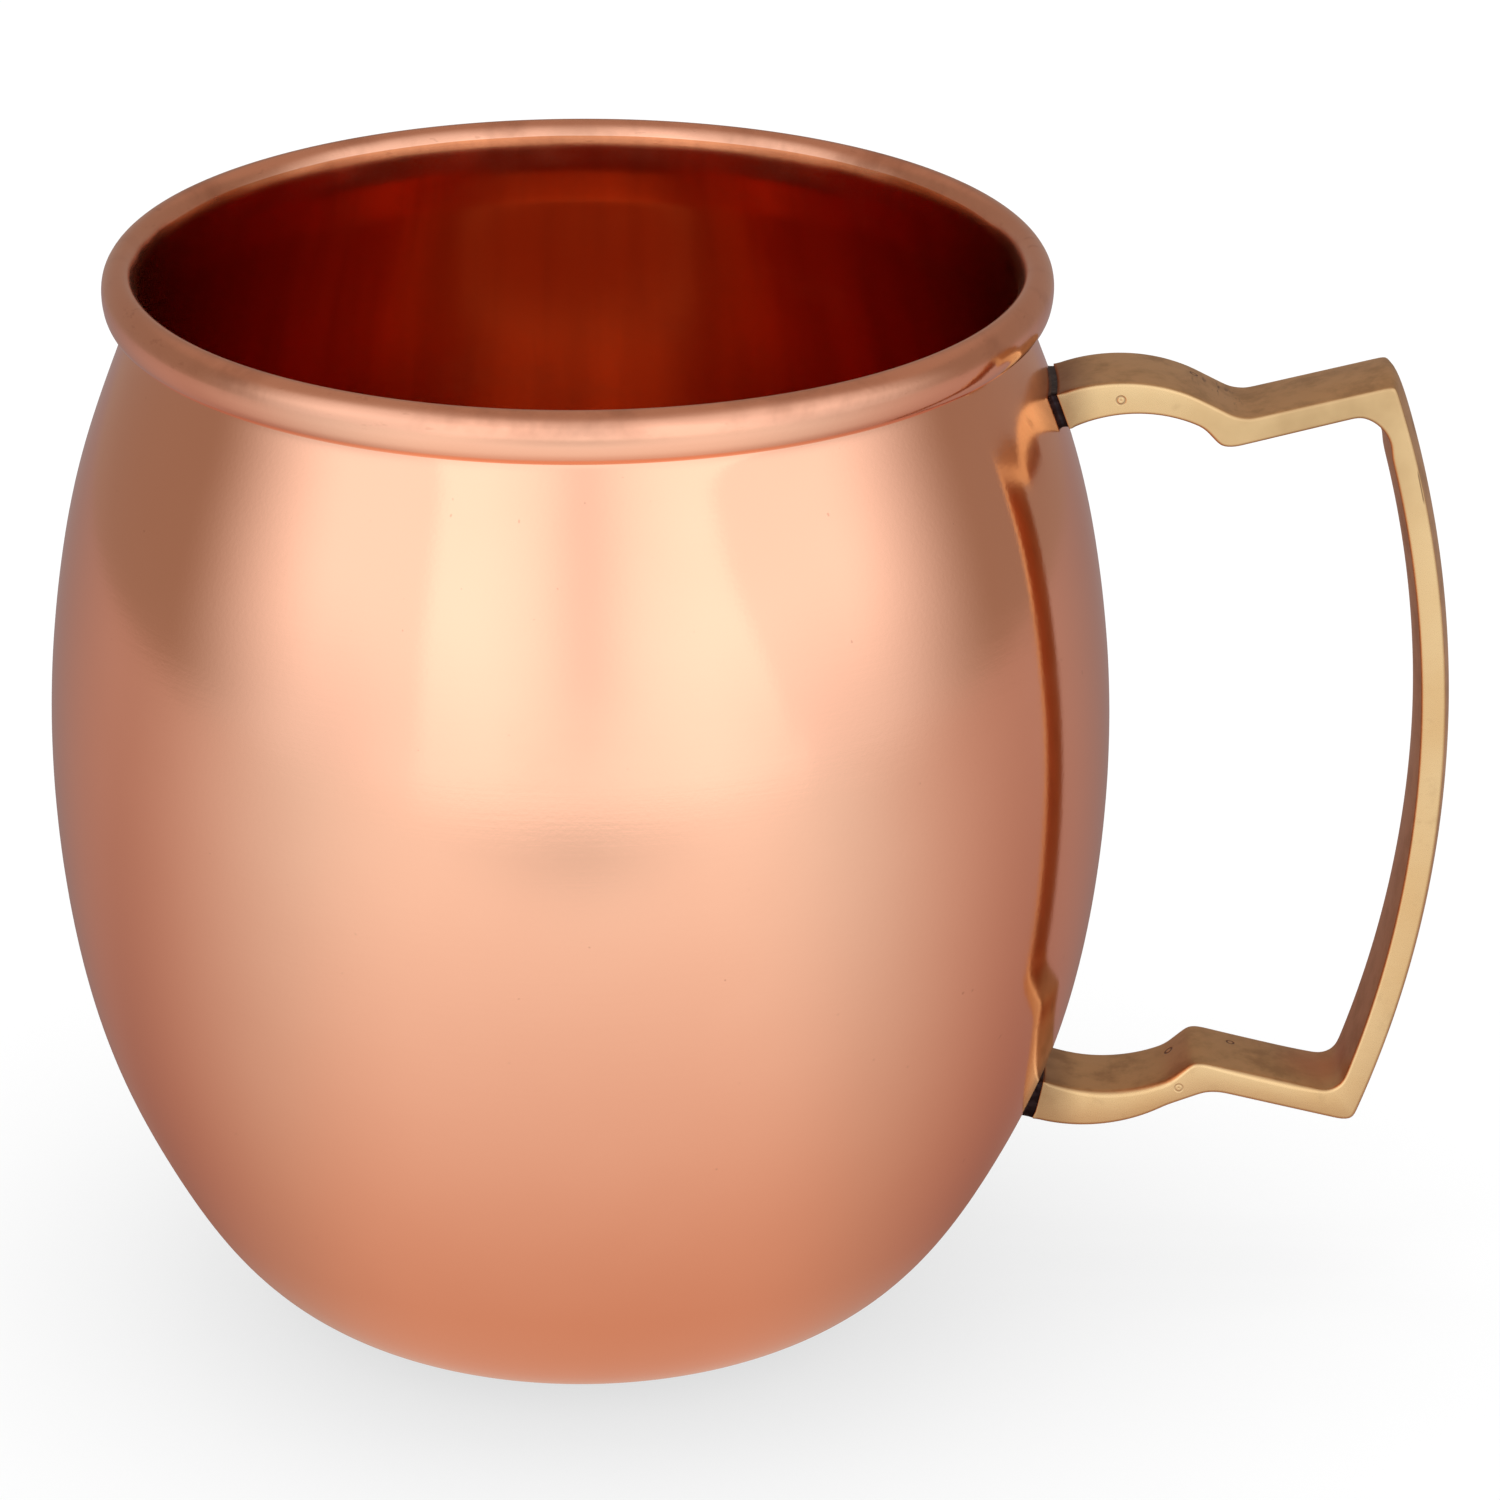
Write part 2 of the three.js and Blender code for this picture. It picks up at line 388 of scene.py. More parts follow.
@dataclass(frozen=True)
class CastBrass:
    """Cast brass with linished sides: clouded, pitted, and browned by the torch at its joints.

    Its skin is also painted darker towards the bottom as shade, and rosy on the faces that turn
    towards the barrel as a painted reflection of the copper.

    Places are millimetres; a pit is its middle, the radius of its rim and how plain it is.
    """

    name: str = "brass_handle"
    colour: Colour = (0.76, 0.492, 0.238)
    warm: Colour = (0.715, 0.435, 0.195)
    tarnish_and_shade: Colour = (0.47, 0.285, 0.130)
    burnt: Colour = (0.20, 0.095, 0.045)
    copper_reflection_tint: Colour = (0.62, 0.27, 0.12)
    side_roughness: float = 0.27
    skin_roughness: float = 0.36
    low_tilt: float = 0.118
    pits: tuple[tuple[float, float, float, float, float], ...] = (
        (46.4, -4.05, 84.7, 0.36, 0.5),
        (52.9, 2.0, 84.9, 0.34, 1.0),
        (58.2, 1.6, 21.4, 0.32, 1.0),
        (52.8, 1.5, 20.3, 0.46, 1.0),
        (53.3, -4.05, 19.5, 0.34, 0.25),
        (70.7, 1.8, 27.0, 0.36, 0.8),
    )
    seam: tuple[float, float, float] = (72.35, -4.05, 76.9)

    def material(self) -> bpy.types.Material:
        """Wires the brass.

        Returns:
            The material.
        """
        sheet = NodeSheet(self.name)
        place = sheet.place()
        x, _, z = sheet.parts(place)
        along, across, _ = sheet.parts(sheet.facing())
        side = sheet.span(sheet.math("ABSOLUTE", across), 0.55, 0.92, 0.0, 1.0)
        skin = sheet.math("SUBTRACT", 1.0, side)
        cloud = sheet.noise(place, 90.0, 4.0, 0.55)
        patch = sheet.noise(place, 260.0, 4.0, 0.65)
        grain = sheet.noise(place, 1500.0, 4.0, 0.65)
        drawn = sheet.noise(sheet.stretched(place, (900.0, 900.0, 2600.0)), 1.0, 3.0, 0.6)
        base = sheet.blend(sheet.span(cloud, 0.35, 0.7, 0.0, 1.0), self.colour, self.warm)
        # Painted shade: the skin is darkened towards the bottom of the handle, where the barrel and
        # the upper arm shade it; the cloudy patches added to it are tarnish.
        lower = sheet.span(z, 18.0 * MM, 42.0 * MM, 0.30, 0.0)
        dull = sheet.math("ADD", lower, sheet.span(patch, 0.40, 0.72, 0.0, 0.75))
        dull = sheet.math("MULTIPLY", dull, skin)
        shoulder = self.near(sheet, place, (64.0, -4.05, 82.5), 17.0)
        shoulder = sheet.math("MULTIPLY", shoulder, sheet.span(cloud, 0.30, 0.62, 0.35, 0.95))
        smeared = sheet.math("MAXIMUM", shoulder, sheet.span(patch, 0.56, 0.76, 0.0, 0.45))
        dull = sheet.math("MAXIMUM", dull, sheet.math("MULTIPLY", smeared, side))
        base = sheet.blend(dull, base, self.tarnish_and_shade)
        # Painted reflection: faces that turn towards the barrel, and the grip's lower inner corner,
        # are tinted rosy as if they mirrored the copper.
        inward_painted_reflection = sheet.span(along, -0.9, -0.2, 0.42, 0.0)
        corner = self.near(sheet, place, (66.4, 0.5, 20.6), 5.5)
        glow = sheet.math("MULTIPLY", sheet.math("MAXIMUM", inward_painted_reflection, corner), skin)
        base = sheet.blend(glow, base, self.copper_reflection_tint)
        scorched = sheet.span(x, 41.5 * MM, 45.0 * MM, 0.85, 0.0)
        scorched = sheet.math("MULTIPLY", scorched, sheet.span(cloud, 0.3, 0.75, 0.45, 1.0))
        scuffs = sheet.noise(sheet.stretched(place, (2300.0, 330.0, 330.0)), 1.0, 3.0, 0.6)
        notch = self.near(sheet, place, (54.6, 0.5, 83.6), 3.6)
        scuffs = sheet.math("MULTIPLY", sheet.span(scuffs, 0.55, 0.68, 0.0, 1.3), notch)
        pitted = self.pitted(sheet, place)
        marks = sheet.math("MAXIMUM", scorched, pitted)
        marks = sheet.math("MAXIMUM", marks, sheet.math("MULTIPLY", self.crack(sheet, place), 0.8))
        marks = sheet.math("MINIMUM", sheet.math("MAXIMUM", marks, scuffs), 1.0)
        base = sheet.blend(marks, base, self.burnt)
        finer = self.side_roughness - self.skin_roughness
        rough = sheet.math("MULTIPLY_ADD", side, finer, self.skin_roughness)
        rough = sheet.math("MULTIPLY_ADD", grain, 0.06, sheet.math("SUBTRACT", rough, 0.03))
        rough = sheet.math("MULTIPLY_ADD", dull, 0.06, rough)
        coarse = sheet.math("MULTIPLY", grain, sheet.math("MULTIPLY_ADD", side, -0.75, 1.0))
        bumpy = sheet.relief(coarse, 0.022 * MM, 0.6)
        linish = sheet.relief(drawn, 0.006 * MM, 0.5, bumpy)
        sunk = sheet.relief(sheet.math("SUBTRACT", 0.0, pitted), 0.08 * MM, 1.0, linish)
        tilt = sheet.math("MULTIPLY", side, sheet.span(z, 16.0 * MM, 84.0 * MM, self.low_tilt, 0.0))
        leant = sheet.add("ShaderNodeVectorMath", operation="ADD")
        sheet.feed(leant.inputs[0], sunk)
        sheet.feed(leant.inputs[1], sheet.vector(0.0, 0.0, tilt))
        even = sheet.add("ShaderNodeVectorMath", operation="NORMALIZE")
        sheet.feed(even.inputs[0], leant.outputs[0])
        sheet.metal(base, rough, even.outputs[0], 0.0)
        return sheet.material

    def distance(self, sheet: NodeSheet, place: Wire, spot: tuple[float, float, float]) -> Wire:
        """Distance from a spot, in metres.

        Args:
            sheet: The sheet that is wired.
            place: The point on the piece.
            spot: The spot, in millimetres.

        Returns:
            The distance.
        """
        node = sheet.add("ShaderNodeVectorMath", operation="DISTANCE")
        sheet.feed(node.inputs[0], place)
        node.inputs[1].default_value = tuple(part * MM for part in spot)
        return node.outputs["Value"]

    def near(
        self, sheet: NodeSheet, place: Wire, spot: tuple[float, float, float], reach: float
    ) -> Wire:
        """How near the surface is to a spot.

        Args:
            sheet: The sheet that is wired.
            place: The point on the piece.
            spot: The spot, in millimetres.
            reach: Distance at which nothing is left, in millimetres.

        Returns:
            One at the spot, nought beyond its reach.
        """
        return sheet.span(self.distance(sheet, place, spot), 0.0, reach * MM, 1.0, 0.0)

    def pitted(self, sheet: NodeSheet, place: Wire) -> Wire:
        """Rims and middles of the small round casting pits.

        Args:
            sheet: The sheet that is wired.
            place: The point on the piece.

        Returns:
            One in a pit's rim, nought elsewhere.
        """
        total: Wire = 0.0
        for *spot, radius, plainness in self.pits:
            away = self.distance(sheet, place, tuple(spot))
            off = sheet.math("ABSOLUTE", sheet.math("SUBTRACT", away, radius * MM))
            ring = sheet.span(off, 0.03 * MM, 0.13 * MM, plainness, 0.0)
            dot = sheet.span(away, 0.02 * MM, 0.12 * MM, 0.6 * plainness, 0.0)
            total = sheet.math("MAXIMUM", total, sheet.math("MAXIMUM", ring, dot))
        return total

    def crack(self, sheet: NodeSheet, place: Wire) -> Wire:
        """One fine dark casting seam on the front of the grip.

        Args:
            sheet: The sheet that is wired.
            place: The point on the piece.

        Returns:
            One in the seam, nought elsewhere.
        """
        node = sheet.add("ShaderNodeVectorMath", operation="SUBTRACT")
        sheet.feed(node.inputs[0], place)
        node.inputs[1].default_value = tuple(part * MM for part in self.seam)
        x, y, z = sheet.parts(node.outputs[0])
        across = sheet.math("ABSOLUTE", sheet.math("MULTIPLY_ADD", z, 0.232, x))
        line = sheet.span(across, 0.02 * MM, 0.09 * MM, 1.0, 0.0)
        ends = sheet.span(sheet.math("ABSOLUTE", z), 1.0 * MM, 1.7 * MM, 1.0, 0.0)
        face = sheet.span(sheet.math("ABSOLUTE", y), 0.3 * MM, 0.6 * MM, 1.0, 0.0)
        return sheet.math("MULTIPLY", sheet.math("MULTIPLY", line, ends), face)


@dataclass(frozen=True)
class BrazeSkin:
    """Oxidised brazing filler: nearly black, with a faint purple-grey sheen."""

    name: str = "braze_skin"
    colour: Colour = (0.016, 0.009, 0.009)
    sheen: Colour = (0.034, 0.022, 0.023)

    def material(self) -> bpy.types.Material:
        """Wires the filler.

        Returns:
            The material.
        """
        sheet = NodeSheet(self.name)
        place = sheet.place()
        lumps = sheet.noise(place, 900.0, 4.0, 0.6)
        streak = sheet.noise(sheet.stretched(place, (1.0, 0.3, 1.0)), 1500.0, 3.0, 0.6)
        colour = sheet.blend(sheet.span(streak, 0.4, 0.7, 0.0, 1.0), self.colour, self.sheen)
        rough = sheet.math("MULTIPLY_ADD", lumps, 0.25, 0.28)
        sheet.metal(colour, rough, sheet.relief(lumps, 0.08 * MM, 0.8), 0.0)
        return sheet.material


@dataclass(frozen=True)
class PaleTable:
    """Plain white table top, with a little light of its own so that its shadows stay pale."""

    name: str = "pale_table"
    colour: Colour = (0.31, 0.31, 0.31)
    paler: Colour = (0.32, 0.32, 0.32)
    glow: float = 0.71

    def material(self) -> bpy.types.Material:
        """Wires the table top.

        Returns:
            The material.
        """
        sheet = NodeSheet(self.name)
        cloud = sheet.noise(sheet.place(), 3.0, 2.0)
        shader = sheet.add("ShaderNodeBsdfPrincipled")
        sheet.feed(shader.inputs["Base Color"], sheet.blend(cloud, self.colour, self.paler))
        shader.inputs["Roughness"].default_value = 0.9
        shader.inputs["Specular IOR Level"].default_value = 0.0
        shader.inputs["Emission Color"].default_value = (1.0, 1.0, 1.0, 1.0)
        shader.inputs["Emission Strength"].default_value = self.glow
        out = sheet.add("ShaderNodeOutputMaterial")
        sheet.feed(out.inputs["Surface"], shader.outputs[0])
        return sheet.material


@dataclass(frozen=True)
class StudioGlow:
    """Soft light that the metal mirrors: bright in front of the mug, dim and warm elsewhere.

    Bearings and rises are in degrees, bearings from the front and positive towards the handle.
    Distances on the table are millimetres from the mug's axis.
    """

    dim: Colour = (0.36, 0.29, 0.255)
    overhead: Colour = (0.47, 0.365, 0.32)
    bright: Colour = (1.30, 1.42, 1.58)
    front: float = 3.0
    lit: float = 57.0
    unlit: float = 101.0
    card: float = 0.18
    stand: float = 0.14
    horizon: float = -9.5
    table_foot: Colour = (0.66, 0.46, 0.38)
    table_open: Colour = (1.08, 1.22, 1.33)
    foot: float = 38.0
    reach: float = 85.0
    edge: float = 470.0
    side_warmth: Colour = (1.26, 0.88, 0.79)

    def bearing(self, sheet: NodeSheet, x: Wire, y: Wire) -> Wire:
        """Bearing of a point round the mug, in degrees.

        Args:
            sheet: The sheet that is wired.
            x: The point's first coordinate.
            y: Its second.

        Returns:
            The bearing.
        """
        turn = sheet.math("ARCTAN2", x, sheet.math("MULTIPLY", y, -1.0))
        return sheet.math("MULTIPLY", turn, 180.0 / math.pi)

    def level(self, sheet: NodeSheet, x: Wire, y: Wire) -> Wire:
        """Distance of a point from the mug's axis.

        Args:
            sheet: The sheet that is wired.
            x: The point's first coordinate.
            y: Its second.

        Returns:
            The distance.
        """
        squares = sheet.math("MULTIPLY_ADD", x, x, sheet.math("MULTIPLY", y, y))
        return sheet.math("SQRT", squares)

    def bump(self, sheet: NodeSheet, value: Wire, middle: Wire, reach: float) -> Wire:
        """A soft hump of one round a value's middle.

        Args:
            sheet: The sheet that is wired.
            value: The value.
            middle: Where the hump is highest.
            reach: How far from there it has fallen to about a third.

        Returns:
            The hump.
        """
        off = sheet.math("DIVIDE", sheet.math("SUBTRACT", value, middle), reach)
        squared = sheet.math("MULTIPLY", off, off)
        return sheet.math("EXPONENT", sheet.math("MULTIPLY", squared, -1.0))

    def scaled(self, sheet: NodeSheet, colour: object, power: Wire) -> Wire:
        """A colour, or a colour output, times a power.

        Args:
            sheet: The sheet that is wired.
            colour: The colour.
            power: The power.

        Returns:
            The brighter or darker colour.
        """
        lit = sheet.add("ShaderNodeVectorMath", operation="SCALE")
        sheet.feed(lit.inputs[0], colour)
        sheet.feed(lit.inputs["Scale"], power)
        return lit.outputs[0]

    def emit(self, sheet: NodeSheet, colour: Wire) -> bpy.types.Material:
        """Ends the sheet in a glow that only the mirror of the metal finds.

        Args:
            sheet: The sheet that is wired.
            colour: The glow's colour.

        Returns:
            The material.
        """
        glow = sheet.add("ShaderNodeEmission")
        sheet.feed(glow.inputs["Color"], colour)
        out = sheet.add("ShaderNodeOutputMaterial")
        sheet.feed(out.inputs["Surface"], glow.outputs[0])
        sheet.material.cycles.emission_sampling = "NONE"
        return sheet.material

    def cards(self, sheet: NodeSheet, bearing: Wire, rise: Wire) -> Wire:
        """Extra light of the two reflector cards that stand left and right of the camera.

        Args:
            sheet: The sheet that is wired.
            bearing: The direction's bearing.
            rise: Its rise.

        Returns:
            The extra light, as a share of the tent's.
        """
        left = sheet.math(
            "MULTIPLY",
            sheet.span(bearing, -35.0, -29.0, 0.0, self.card),
            sheet.span(bearing, -24.0, 4.0, 1.0, 0.0),
        )
        lean = sheet.math("MULTIPLY_ADD", rise, -0.45, 44.0)
        past = sheet.math("SUBTRACT", bearing, lean)
        right = sheet.math(
            "MULTIPLY",
            sheet.span(bearing, 4.0, 32.0, 0.0, self.card),
            sheet.span(past, -2.0, 2.0, 1.0, 0.0),
        )
        both = sheet.math("ADD", left, right)
        return sheet.math("MULTIPLY", both, sheet.span(rise, -9.0, 14.0, 0.45, 1.0))

    def sky(self, sheet: NodeSheet, bearing: Wire, rise: Wire) -> Wire:
        """Glow of the tent in one direction.

        Args:
            sheet: The sheet that is wired.
            bearing: The direction's bearing.
            rise: Its rise.

        Returns:
            The glow's colour.
        """
        away = sheet.math("ABSOLUTE", sheet.math("SUBTRACT", bearing, self.front))
        front = sheet.span(away, self.lit, self.unlit, 1.0, 0.0)
        front = sheet.math("MULTIPLY", front, sheet.span(rise, 22.0, 84.0, 1.0, 0.0))
        sides = sheet.span(away, 18.0, 62.0, 0.0, 0.28)
        low = sheet.math("MULTIPLY", sides, sheet.span(rise, -12.0, 15.0, 1.0, 0.0))
        power = sheet.math("SUBTRACT", 1.0, low)
        power = sheet.math("ADD", power, self.cards(sheet, bearing, rise))
        stripe = self.bump(sheet, bearing, self.front, 8.0)
        stripe = sheet.math("MULTIPLY", stripe, sheet.span(rise, -6.0, 6.0, 0.15, 1.0))
        power = sheet.math("MULTIPLY_ADD", stripe, -self.stand, power)
        dull = sheet.blend(sheet.span(rise, 27.0, 42.0, 0.0, 1.0), self.dim, self.overhead)
        return sheet.blend(front, dull, self.scaled(sheet, self.bright, power))

    def tent(self) -> bpy.types.Material:
        """Wires the light tent's glow.

        Returns:
            The material.
        """
        sheet = NodeSheet("tent_glow")
        x, y, z = sheet.parts(sheet.place())
        rise = sheet.math("ARCTAN2", z, self.level(sheet, x, y))
        rise = sheet.math("MULTIPLY", rise, 180.0 / math.pi)
        return self.emit(sheet, self.sky(sheet, self.bearing(sheet, x, y), rise))

    def table(self) -> bpy.types.Material:
        """Wires the table's glow as the metal mirrors it: dim and warm close to the mug.

        Returns:
            The material.
        """
        sheet = NodeSheet("table_glow")
        x, y, _ = sheet.parts(sheet.place())
        level = sheet.math("DIVIDE", self.level(sheet, x, y), MM)
        bearing = self.bearing(sheet, x, y)
        away = sheet.math("DIVIDE", sheet.math("SUBTRACT", self.foot, level), self.reach)
        opened = sheet.math("SUBTRACT", 1.0, sheet.math("EXPONENT", away))
        near = sheet.blend(opened, self.table_foot, self.table_open)
        turn = sheet.math("ABSOLUTE", bearing)
        aside = sheet.span(turn, 50.0, 105.0, 0.0, 1.0)
        warm = sheet.blend(aside, (1.0, 1.0, 1.0), self.side_warmth)
        tinted = sheet.add("ShaderNodeVectorMath", operation="MULTIPLY")
        sheet.feed(tinted.inputs[0], near)
        sheet.feed(tinted.inputs[1], warm)
        front = sheet.span(turn, 25.0, 105.0, 1.0, 0.37)
        front = sheet.math("SUBTRACT", front, sheet.span(turn, 105.0, 150.0, 0.0, 0.12))
        near = self.scaled(sheet, tinted.outputs[0], front)
        far = self.sky(sheet, bearing, self.horizon)
        whole = sheet.blend(sheet.span(level, self.edge * 0.82, self.edge, 0.0, 1.0), near, far)
        shade = self.bump(sheet, bearing, 2.0, 15.0)
        shade = sheet.math("MULTIPLY", shade, self.bump(sheet, level, 290.0, 78.0))
        wings = self.bump(sheet, bearing, -2.0, 26.0)
        wings = sheet.math("MULTIPLY", wings, self.bump(sheet, level, 285.0, 46.0))
        left = sheet.math("MULTIPLY_ADD", wings, -0.10, 1.03)
        left = sheet.math("MULTIPLY_ADD", shade, -0.18, left)
        return self.emit(sheet, self.scaled(sheet, whole, left))


# Curves and skins ---------------------------------------------------------------------------------


def travelled(points: np.ndarray) -> np.ndarray:
    """Distance along a line of points, from its first point."""
    steps = np.hypot(*np.diff(points, axis=0).T)
    return np.concatenate([[0.0], np.cumsum(steps)])


def respaced(points: np.ndarray, step: float) -> np.ndarray:
    """Lays points at even steps along an open line.

    Args:
        points: The line's points.
        step: The distance between new points.

    Returns:
        The new points.
    """
    along = travelled(points)
    count = max(2, int(round(along[-1] / step)) + 1)
    marks = np.linspace(0.0, along[-1], count)
    return np.column_stack([np.interp(marks, along, points[:, axis]) for axis in (0, 1)])


def faired(stations: np.ndarray, wave: float, samples: int) -> np.ndarray:
    """Bends a springy batten past rough stations, so that the curve has no lumps.

    Args:
        stations: The stations that the batten is pulled to.
        wave: Lumps shorter than this are ironed out.
        samples: How many points the batten has.

    Returns:
        The batten's points.
    """
    chord = travelled(stations)
    step = chord[-1] / (samples - 1)
    spot = chord / step
    left = np.minimum(spot.astype(int), samples - 2)
    pull = np.zeros((len(stations), samples))
    rows = np.arange(len(stations))
    pull[rows, left] = 1.0 - (spot - left)
    pull[rows, left + 1] = spot - left
    weight = np.ones(len(stations))
    weight[[0, -1]] = 200.0
    bend = np.diff(np.eye(samples), n=3, axis=0)
    spring = (len(stations) / chord[-1]) * (wave / (2.0 * math.pi)) ** 6 / step**5
    stiff = pull.T @ (weight[:, None] * pull) + spring * bend.T @ bend
    return np.linalg.solve(stiff, pull.T @ (weight[:, None] * stations))


def softened(points: np.ndarray, step: float, blur: float, closed: bool) -> np.ndarray:
    """Rounds the corners of a line of evenly spaced points.

    Args:
        points: The points.
        step: Their spacing.
        blur: How far the rounding reaches.
        closed: Whether the line closes on itself.

    Returns:
        The rounded points.
    """
    reach = max(1, int(math.ceil(3.0 * blur / step)))
    offsets = np.arange(-reach, reach + 1)
    weights = np.exp(-0.5 * (offsets * step / blur) ** 2)
    weights /= weights.sum()
    count = len(points)
    if closed:
        padded = points[np.arange(-reach, count + reach) % count]
    else:
        head = 2.0 * points[0] - points[reach:0:-1]
        tail = 2.0 * points[-1] - points[-2 : -reach - 2 : -1]
        padded = np.vstack([head, points, tail])
    return np.column_stack([np.convolve(padded[:, axis], weights, "valid") for axis in (0, 1)])


def arc_through(start: Station, middle: Station, end: Station, steps: int) -> list[Station]:
    """Points of the arc through three points, the first one left out.

    Args:
        start: Where the arc starts.
        middle: A point that it passes.
        end: Where it ends.
        steps: How many points it is given.

    Returns:
        The points.
    """
    (ax, az), (bx, bz), (cx, cz) = start, middle, end
    twice = 2.0 * (ax * (bz - cz) + bx * (cz - az) + cx * (az - bz))
    a, b, c = ax * ax + az * az, bx * bx + bz * bz, cx * cx + cz * cz
    x = (a * (bz - cz) + b * (cz - az) + c * (az - bz)) / twice
    z = (a * (cx - bx) + b * (ax - cx) + c * (bx - ax)) / twice
    radius = math.hypot(ax - x, az - z)
    first = math.atan2(az - z, ax - x)
    last = math.atan2(cz - z, cx - x)
    turn = math.atan2(math.sin(last - first), math.cos(last - first))
    angles = [first + turn * (i + 1) / steps for i in range(steps)]
    return [(x + radius * math.cos(angle), z + radius * math.sin(angle)) for angle in angles]


def make_piece(
    name: str, points: np.ndarray, faces: list[tuple[int, ...]], finishes: list[bpy.types.Material]
) -> bpy.types.Object:
    """Makes one smooth-shaded piece.

    Args:
        name: The piece's name.
        points: Its points, in millimetres.
        faces: Its faces, as point numbers.
        finishes: Its materials.

    Returns:
        The piece, linked to the scene.
    """
    mesh = bpy.data.meshes.new(name)
    mesh.from_pydata((points * MM).tolist(), [], faces)
    mesh.update()
    mesh.shade_smooth()
    for finish in finishes:
        mesh.materials.append(finish)
    piece = bpy.data.objects.new(name, mesh)
    bpy.context.scene.collection.objects.link(piece)
    return piece


def fit_piece(piece: bpy.types.Object, node: str) -> None:
    """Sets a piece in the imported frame.

    Args:
        piece: The piece.
        node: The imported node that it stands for.
    """
    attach(piece, "root")
    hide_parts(node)
    low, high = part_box(node)
    LOG.info(
        "%s: %d points, stands for %s, %.1f to %.1f mm high",
        piece.name,
        len(piece.data.vertices),
        node,
        low.z / MM,
        high.z / MM,
    )


# Body ---------------------------------------------------------------------------------------------


@dataclass
class CopperBody:
    """The spun sheet: flat base, barrel, upright neck and a bead rolled outwards at the rim."""

    sheet: float = 0.8
    barrel: tuple[Station, ...] = (
        (20.5, 0.0),
        (26.8, 1.5),
        (33.3, 7.1),
        (37.8, 14.4),
        (41.3, 21.9),
        (43.7, 29.4),
        (45.2, 37.0),
        (46.05, 44.6),
        (46.35, 52.4),
        (46.05, 60.3),
        (45.05, 68.6),
        (43.2, 77.4),
        (40.1, 86.4),
        (38.75, 89.9),
    )
    neck_radius: float = 38.4
    neck_start: float = 91.0
    bead_radius: float = 39.1
    bead_height: float = 93.8
    bead: tuple[Station, ...] = (
        (-0.30, -2.20),
        (0.45, -2.16),
        (1.00, -1.78),
        (1.36, -1.10),
        (1.50, -0.30),
        (1.52, 0.45),
        (1.40, 1.15),
        (1.00, 1.80),
        (0.50, 2.20),
        (-0.10, 2.36),
        (-0.62, 2.18),
        (-1.02, 1.75),
        (-1.33, 1.15),
        (-1.50, 0.30),
        (-1.50, -0.80),
    )
    hollow: tuple[Station, ...] = (
        (-0.70, 0.30),
        (-0.45, 1.15),
        (0.0, 1.45),
        (0.50, 0.95),
        (0.70, 0.20),
        (0.62, -0.70),
        (0.30, -1.30),
        (-0.16, -1.46),
    )
    turns: int = 270
    inside_from: int = 11
    step: float = 0.5
    outside: np.ndarray = field(init=False)

    def __post_init__(self) -> None:
        """Fairs the barrel's outside, which the joints are fitted to as well."""
        self.outside = faired(np.array(self.barrel), 17.0, 260)

    def radius_at(self, height: np.ndarray) -> np.ndarray:
        """Radius of the barrel's outside at a height."""
        return np.interp(height, self.outside[:, 1], self.outside[:, 0])

    def around_bead(self, stations: tuple[Station, ...]) -> np.ndarray:
        """Moves stations that are given from the bead's middle to their place."""
        return np.array(stations) + (self.bead_radius, self.bead_height)

    def inside(self) -> np.ndarray:
        """Offsets the barrel inwards by the sheet's thickness.

        Returns:
            The inner surface, from the neck down to the edge of the cup's floor.
        """
        along = np.gradient(self.outside, axis=0)
        along /= np.hypot(along[:, 0], along[:, 1])[:, None]
        inner = self.outside + self.sheet * np.column_stack([-along[:, 1], along[:, 0]])
        inner = inner[inner[:, 1] < self.neck_start - 2.2]
        inner = inner[inner[:, 0] < self.outside[:, 0].max()]
        return inner[::-1]

    def profile(self) -> tuple[np.ndarray, int]:
        """The closed profile, from the axis below the base to the axis on the cup's floor.

        Returns:
            The profile's points, and the number of the one on top of the bead.
        """
        neck = np.array([(self.neck_radius, self.neck_start), (self.neck_radius, 93.2)])
        below = np.vstack([[(0.0, 0.0)], respaced(self.outside, self.step)[:-1]])
        outer = softened(respaced(np.vstack([below, neck]), 0.25), 0.25, 0.45, False)
        hollow = softened(respaced(self.around_bead(self.hollow), 0.3), 0.3, 0.3, False)
        bead = softened(respaced(self.around_bead(self.bead), 0.15), 0.15, 0.22, False)
        inner_neck = (self.neck_radius - self.sheet, self.neck_start + 0.9)
        wall = np.vstack([[bead[-1], inner_neck], self.inside(), [(0.0, self.sheet)]])
        wall = softened(respaced(wall, 0.25), 0.25, 0.45, False)
        line = np.vstack([self.thinned(outer), hollow, bead, self.thinned(wall[1:])])
        line[0] = (0.0, 0.0)
        line[-1] = (0.0, self.sheet)
        return line, int(np.argmax(line[:, 1]))

    def thinned(self, line: np.ndarray) -> np.ndarray:
        """Drops points where a line runs nearly straight.

        Args:
            line: Closely spaced points.

        Returns:
            The points that are kept.
        """
        along = np.gradient(line, axis=0)
        heading = np.unwrap(np.arctan2(along[:, 1], along[:, 0]))
        spent = np.concatenate([[0.0], np.cumsum(np.abs(np.diff(heading)))]) / 0.040
        spent += travelled(line) / 1.6
        _, first = np.unique(spent.astype(int), return_index=True)
        return line[np.unique(np.append(first, len(line) - 1))]

